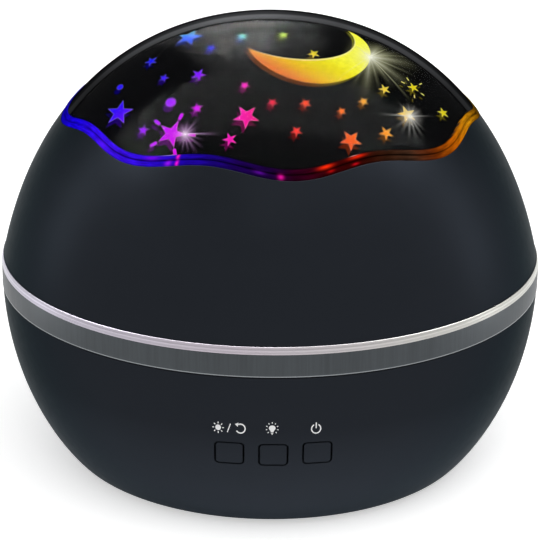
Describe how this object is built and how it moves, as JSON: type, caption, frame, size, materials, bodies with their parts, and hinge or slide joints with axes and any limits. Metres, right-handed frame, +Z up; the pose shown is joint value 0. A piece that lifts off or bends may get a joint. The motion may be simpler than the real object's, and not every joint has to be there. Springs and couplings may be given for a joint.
{
  "type": "star night light projector",
  "caption": "Ball-shaped night light on a fixed bowl base, with push buttons in front, a bright ring, and a motor-turned upper half with a clear dome over a star and moon film.",
  "frame": {"origin": "on the table, under the ball's axis, at the feet's lower faces", "axes": "+Z up along the axis that the upper half turns on, push buttons towards -Y, power socket towards +Y"},
  "size_m": [0.13, 0.13, 0.1065],
  "materials": {
    "black_shell": "glossy dark slate ABS",
    "brushed_band": "vertically brushed dark grey",
    "bright_trim": "bright satin bevel",
    "clear_dome": "clear moulded acrylic",
    "glow_rim": "translucent edge that glows from blue through red to gold",
    "black_film": "black printed film",
    "star_windows": "clear coloured windows in the film",
    "white_plastic": "plain white moulding",
    "inner_plastic": "plain dark moulding",
    "circuit_board": "green solder mask",
    "cell_jacket": "plain wrapped cell",
    "led_lens": "yellow phosphor lens",
    "lead_jacket": "red lead jacket",
    "steel": "plated steel",
    "rubber": "soft black rubber"
  },
  "bodies": {
    "base": {"base_shell": "black_shell", "grey_band": "brushed_band", "bright_strip": "bright_trim", "deck": "black_shell", "battery_box": "inner_plastic", "battery_cells": "cell_jacket", "battery_springs": "steel", "battery_contacts": "steel", "rubber_feet": "rubber", "housing_screws": "steel", "gear_motor": "steel", "motor_screws": "steel", "main_board": "circuit_board", "board_parts": "inner_plastic", "board_screws": "steel", "switch_board": "circuit_board", "tact_switches": "inner_plastic", "power_socket": "steel", "led_post": "white_plastic", "led_board": "white_plastic", "star_leds": "led_lens", "wire_leads": "lead_jacket", "bearing_washer": "white_plastic", "retaining_clip": "steel"},
    "rotation_button": {"rotation_button": "black_shell"},
    "light_button": {"light_button": "black_shell"},
    "power_button": {"power_button": "black_shell"},
    "battery_door": {"battery_door": "black_shell", "door_screw": "steel"},
    "turntable": {"turntable": "white_plastic"},
    "drive_gear": {"drive_gear": "white_plastic", "motor_shaft": "steel"},
    "cover": {"upper_shell": "black_shell", "cover_ring": "black_shell", "wave_rim": "glow_rim", "dome_cover": "clear_dome", "star_film": "black_film", "film_windows": "star_windows", "film_ring": "white_plastic"}
  },
  "joints": [
    {"name": "turntable_spin", "type": "hinge", "parent": "base", "child": "turntable", "pos_m": [0, 0, 0.05], "axis": [0, 0, 1], "continuous": true},
    {"name": "pinion_spin", "type": "hinge", "parent": "base", "child": "drive_gear", "pos_m": [0, 0.032, 0.049], "axis": [0, 0, 1], "continuous": true},
    {"name": "cover_lift", "type": "slide", "parent": "turntable", "child": "cover", "axis": [0, 0, 1], "range_m": [0, 0.08]},
    {"name": "door_hinge", "type": "hinge", "parent": "base", "child": "battery_door", "pos_m": [0, 0.0216, 0.0034], "axis": [1, 0, 0], "range_deg": [0, 90]},
    {"name": "rotation_button_press", "type": "slide", "parent": "base", "child": "rotation_button", "axis": [0, 0.9583, 0.2857], "range_m": [0, 0.0006], "stiffness_N_per_m": 900},
    {"name": "light_button_press", "type": "slide", "parent": "base", "child": "light_button", "axis": [0, 0.9583, 0.2857], "range_m": [0, 0.0006], "stiffness_N_per_m": 900},
    {"name": "power_button_press", "type": "slide", "parent": "base", "child": "power_button", "axis": [0, 0.9583, 0.2857], "range_m": [0, 0.0006], "stiffness_N_per_m": 900}
  ],
  "couplings": [
    {"joint": "pinion_spin", "follows": "turntable_spin", "ratio": -3}
  ]
}
